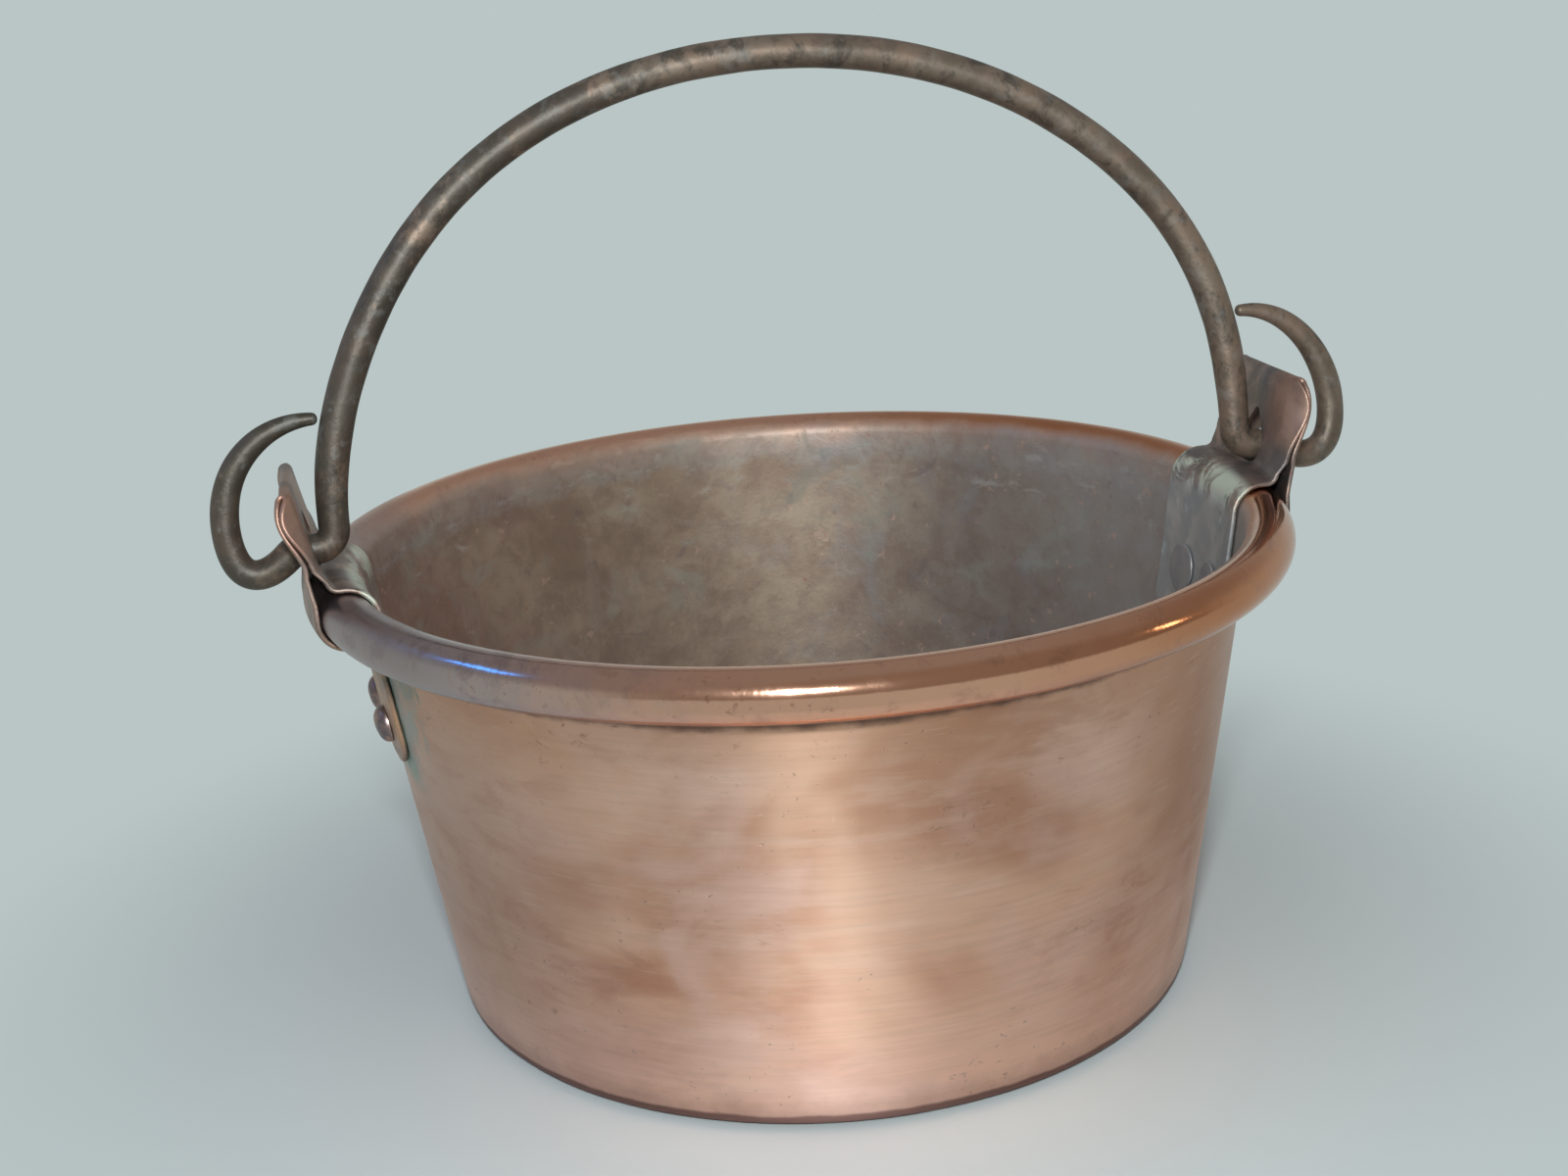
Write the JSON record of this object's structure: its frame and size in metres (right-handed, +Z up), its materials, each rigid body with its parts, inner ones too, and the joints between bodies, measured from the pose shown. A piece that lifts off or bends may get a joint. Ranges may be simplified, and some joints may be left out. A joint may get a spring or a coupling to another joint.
{
  "type": "polenta pot",
  "caption": "Flaring copper cooking pot with a rolled rim, riveted folded ears and a swinging arched iron bail with hooked ends.",
  "frame": {"origin": "middle of the base, on the surface that the pot stands on", "axes": "+Z up out of the bowl's mouth, X along the bail's hinge from the left ear to the right ear, -Y the front"},
  "size_m": [0.4255, 0.3598, 0.3459],
  "materials": {
    "bowl_copper": "old copper sheet, brushed outside and tarnished inside",
    "ear_copper": "tarnished copper sheet with bright worn edges",
    "rivet_copper": "dark tarnished copper",
    "bail_iron": "forged iron, brown-black and satin from handling",
    "hoop_iron": "plain iron rod, hidden in the roll"
  },
  "bodies": {
    "pot": {"bowl": "bowl_copper", "rim_hoop": "hoop_iron", "ear_left": "ear_copper", "ear_right": "ear_copper", "rivet_left_front": "rivet_copper", "rivet_left_back": "rivet_copper", "rivet_right_front": "rivet_copper", "rivet_right_back": "rivet_copper"},
    "bail": {"bail": "bail_iron"}
  },
  "joints": [
    {"name": "bail_swing", "type": "hinge", "parent": "pot", "child": "bail", "pos_m": [0, -0.0066, 0.1823], "axis": [1, 0, 0], "range_deg": [-83, 91]}
  ]
}
